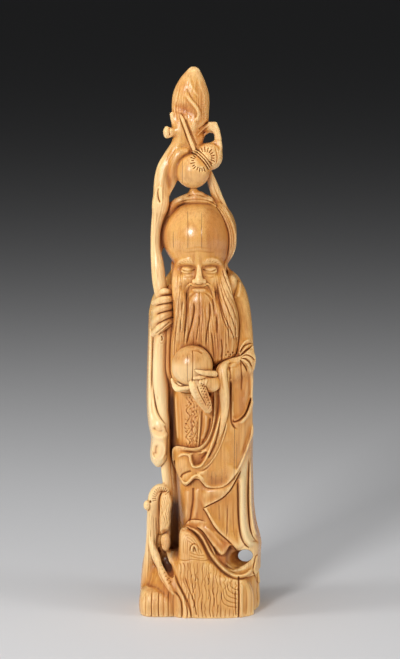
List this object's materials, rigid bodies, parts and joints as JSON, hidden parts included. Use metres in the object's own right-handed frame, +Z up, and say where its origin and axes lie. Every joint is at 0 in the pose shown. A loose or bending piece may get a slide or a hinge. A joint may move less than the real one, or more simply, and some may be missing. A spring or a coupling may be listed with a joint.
{
  "type": "carved ivory god of longevity figure",
  "caption": "Standing carved ivory figure of the old god of long life, with a domed head, long beard, staff, gourd, peach and crane on a tree-stump base.",
  "frame": {"origin": "middle of the flat underside of the tree-stump base, on the surface it stands on", "axes": "+Z up; the front of the figure looks along -Y; +X to the viewer's right, the side of the figure's left arm"},
  "size_m": [0.0768, 0.0722, 0.3272],
  "materials": {
    "ivory": "satin"
  },
  "bodies": {
    "root": {"shou_lao_figure": "ivory"}
  },
  "joints": []
}
